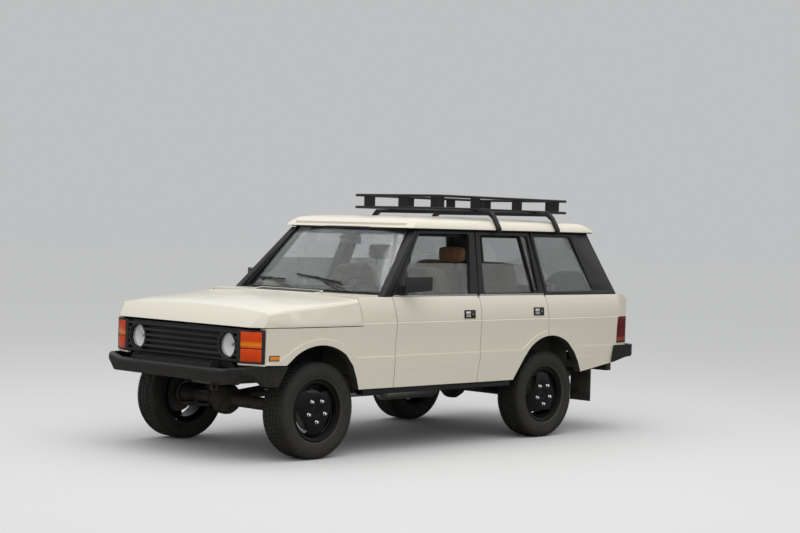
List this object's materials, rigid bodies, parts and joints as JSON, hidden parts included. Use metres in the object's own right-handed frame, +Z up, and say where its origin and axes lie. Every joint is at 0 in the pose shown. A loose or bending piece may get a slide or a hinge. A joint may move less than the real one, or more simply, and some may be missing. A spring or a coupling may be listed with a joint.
{
  "type": "four-door off-road estate car",
  "caption": "Boxy off-road estate car with live axles, split tailgate, opening doors and bonnet, steering front wheels and a roof basket.",
  "frame": {"origin": "centre of the footprint at ground level, midway between the bumpers", "axes": "+Z up, -Y towards the nose, +X the car's left side"},
  "size_m": [2.1368, 4.456, 1.979],
  "materials": {
    "body_paint": "gloss",
    "black_paint": "satin",
    "grille_plastic": "satin",
    "clear_glass": "gloss",
    "lamp_glass": "gloss",
    "amber_lens": "gloss",
    "red_lens": "gloss",
    "tyre_rubber": "matte",
    "rim_paint": "gloss",
    "chassis_paint": "matte",
    "cast_metal": "matte",
    "steel": "satin",
    "seat_cloth": "matte",
    "dark_trim": "matte",
    "cover_cloth": "matte",
    "rubber_sheet": "matte"
  },
  "bodies": {
    "body_shell": {"body_frame_left": "black_paint", "body_frame_right": "black_paint", "chassis_frame": "chassis_paint", "corner_lamps": "amber_lens", "dashboard": "dark_trim", "driveline": "cast_metal", "engine": "cast_metal", "exhaust": "steel", "fixed_glass": "clear_glass", "floor_pan": "chassis_paint", "front_axle": "chassis_paint", "front_bumper": "black_paint", "front_seats": "seat_cloth", "front_wing_left": "body_paint", "front_wing_right": "body_paint", "fuel_tank": "chassis_paint", "grille": "grille_plastic", "headlamps": "lamp_glass", "inner_wings": "chassis_paint", "mud_flaps": "rubber_sheet", "rack_bars": "black_paint", "rear_axle": "chassis_paint", "rear_bumper": "black_paint", "rear_quarter_left": "body_paint", "rear_quarter_right": "body_paint", "rear_seat": "seat_cloth", "roof_panel": "body_paint", "roof_rack": "black_paint", "scuttle_panel": "body_paint", "spare_wheel": "cover_cloth", "suspension": "chassis_paint", "tail_lamps": "red_lens"},
    "bonnet": {"bonnet": "body_paint"},
    "door_front_left": {"door_front_left": "body_paint", "glass_front_left": "clear_glass", "mirror_left": "grille_plastic"},
    "door_front_right": {"door_front_right": "body_paint", "glass_front_right": "clear_glass", "mirror_right": "grille_plastic"},
    "door_rear_left": {"door_rear_left": "body_paint", "glass_rear_left": "clear_glass"},
    "door_rear_right": {"door_rear_right": "body_paint", "glass_rear_right": "clear_glass"},
    "tailgate_upper": {"tailgate_upper": "black_paint", "tailgate_glass": "clear_glass"},
    "tailgate_lower": {"tailgate_lower": "body_paint"},
    "knuckle_left": {"knuckle_left": "cast_metal"},
    "knuckle_right": {"knuckle_right": "cast_metal"},
    "wheel_front_left": {"tyre_front_left": "tyre_rubber", "rim_front_left": "rim_paint"},
    "wheel_front_right": {"tyre_front_right": "tyre_rubber", "rim_front_right": "rim_paint"},
    "wheel_rear_left": {"tyre_rear_left": "tyre_rubber", "rim_rear_left": "rim_paint"},
    "wheel_rear_right": {"tyre_rear_right": "tyre_rubber", "rim_rear_right": "rim_paint"},
    "steering_wheel": {"steering_wheel": "dark_trim"},
    "track_rod": {"track_rod": "chassis_paint"}
  },
  "joints": [
    {"name": "door_front_left_hinge", "type": "hinge", "parent": "body_shell", "child": "door_front_left", "pos_m": [0.912, -0.773, 0.8], "axis": [0, 0, -1], "range_deg": [0, 68]},
    {"name": "door_front_right_hinge", "type": "hinge", "parent": "body_shell", "child": "door_front_right", "pos_m": [-0.912, -0.773, 0.8], "axis": [0, 0, 1], "range_deg": [0, 68]},
    {"name": "door_rear_left_hinge", "type": "hinge", "parent": "body_shell", "child": "door_rear_left", "pos_m": [0.912, 0.185, 0.8], "axis": [0, 0, -1], "range_deg": [0, 66]},
    {"name": "door_rear_right_hinge", "type": "hinge", "parent": "body_shell", "child": "door_rear_right", "pos_m": [-0.912, 0.185, 0.8], "axis": [0, 0, 1], "range_deg": [0, 66]},
    {"name": "bonnet_hinge", "type": "hinge", "parent": "body_shell", "child": "bonnet", "pos_m": [0, -1.148, 1.196], "axis": [-1, 0, 0], "range_deg": [0, 58]},
    {"name": "tailgate_upper_hinge", "type": "hinge", "parent": "body_shell", "child": "tailgate_upper", "pos_m": [0, 1.797, 1.701], "axis": [1, 0, 0], "range_deg": [0, 84]},
    {"name": "tailgate_lower_hinge", "type": "hinge", "parent": "body_shell", "child": "tailgate_lower", "pos_m": [0, 2.15, 0.752], "axis": [-1, 0, 0], "range_deg": [0, 90]},
    {"name": "steer_left", "type": "hinge", "parent": "body_shell", "child": "knuckle_left", "pos_m": [0.66, -1.51, 0.355], "axis": [0, 0, 1], "range_deg": [-30, 30]},
    {"name": "steer_right", "type": "hinge", "parent": "body_shell", "child": "knuckle_right", "pos_m": [-0.66, -1.51, 0.355], "axis": [0, 0, 1], "range_deg": [-30, 30]},
    {"name": "wheel_front_left_spin", "type": "hinge", "parent": "knuckle_left", "child": "wheel_front_left", "pos_m": [0.75, -1.51, 0.355], "axis": [1, 0, 0], "continuous": true},
    {"name": "wheel_front_right_spin", "type": "hinge", "parent": "knuckle_right", "child": "wheel_front_right", "pos_m": [-0.75, -1.51, 0.355], "axis": [1, 0, 0], "continuous": true},
    {"name": "wheel_rear_left_spin", "type": "hinge", "parent": "body_shell", "child": "wheel_rear_left", "pos_m": [0.75, 1.03, 0.355], "axis": [1, 0, 0], "continuous": true},
    {"name": "wheel_rear_right_spin", "type": "hinge", "parent": "body_shell", "child": "wheel_rear_right", "pos_m": [-0.75, 1.03, 0.355], "axis": [1, 0, 0], "continuous": true},
    {"name": "steering_wheel_turn", "type": "hinge", "parent": "body_shell", "child": "steering_wheel", "pos_m": [0.4, -0.56, 1.105], "axis": [0, 0.8829, 0.4695], "range_deg": [-540, 540]},
    {"name": "track_rod_slide", "type": "slide", "parent": "body_shell", "child": "track_rod", "axis": [-1, 0, 0], "range_m": [-0.09, 0.09]}
  ],
  "couplings": [
    {"joint": "steer_right", "follows": "steer_left", "ratio": 1},
    {"joint": "steering_wheel_turn", "follows": "steer_left", "ratio": 18},
    {"joint": "track_rod_slide", "follows": "steer_left", "m_per_rad": 0.165}
  ]
}
